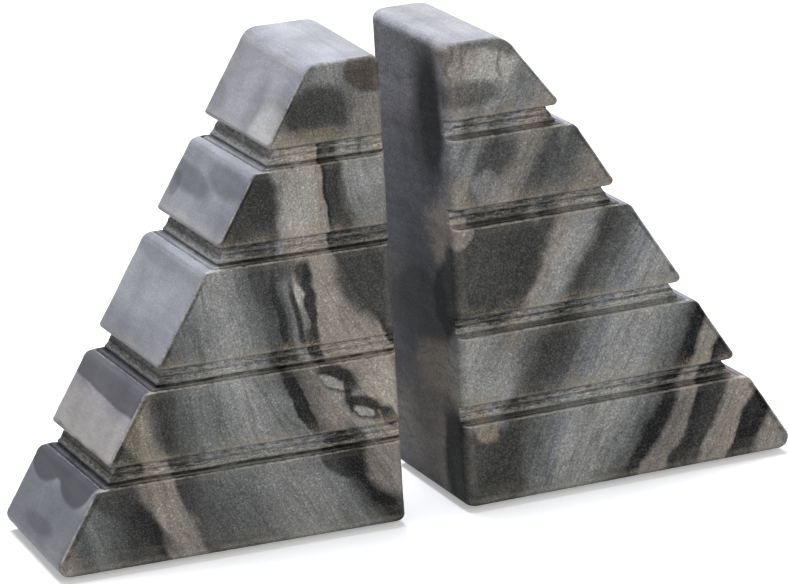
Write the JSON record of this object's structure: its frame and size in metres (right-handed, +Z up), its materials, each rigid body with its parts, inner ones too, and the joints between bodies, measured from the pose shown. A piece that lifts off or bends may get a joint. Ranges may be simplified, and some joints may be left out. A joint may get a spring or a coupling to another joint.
{
  "type": "book ends",
  "caption": "Free-standing grey marble book ends: mirrored half pyramids, each with a flat upright book face, a tiered and grooved slope and rubber pads underneath.",
  "frame": {"origin": "centre of the pair's footprint, on the shelf surface under the pads", "axes": "+Z up, +X along the shelf from the left book end to the right one, +Y to the back of the shelf"},
  "size_m": [0.2756, 0.0735, 0.167],
  "materials": {
    "marble": "honed grey marble with dark, beige and pale veins",
    "pad_rubber": "matt black rubber"
  },
  "bodies": {
    "left_book_end": {"left_block": "marble", "left_pad_inner_front": "pad_rubber", "left_pad_inner_back": "pad_rubber", "left_pad_toe_front": "pad_rubber", "left_pad_toe_back": "pad_rubber"},
    "right_book_end": {"right_block": "marble", "right_pad_inner_front": "pad_rubber", "right_pad_inner_back": "pad_rubber", "right_pad_toe_front": "pad_rubber", "right_pad_toe_back": "pad_rubber"}
  },
  "joints": [
    {"name": "right_end_slide", "type": "slide", "parent": "left_book_end", "child": "right_book_end", "axis": [1, 0, 0], "range_m": [-0.018, 0.3]}
  ]
}
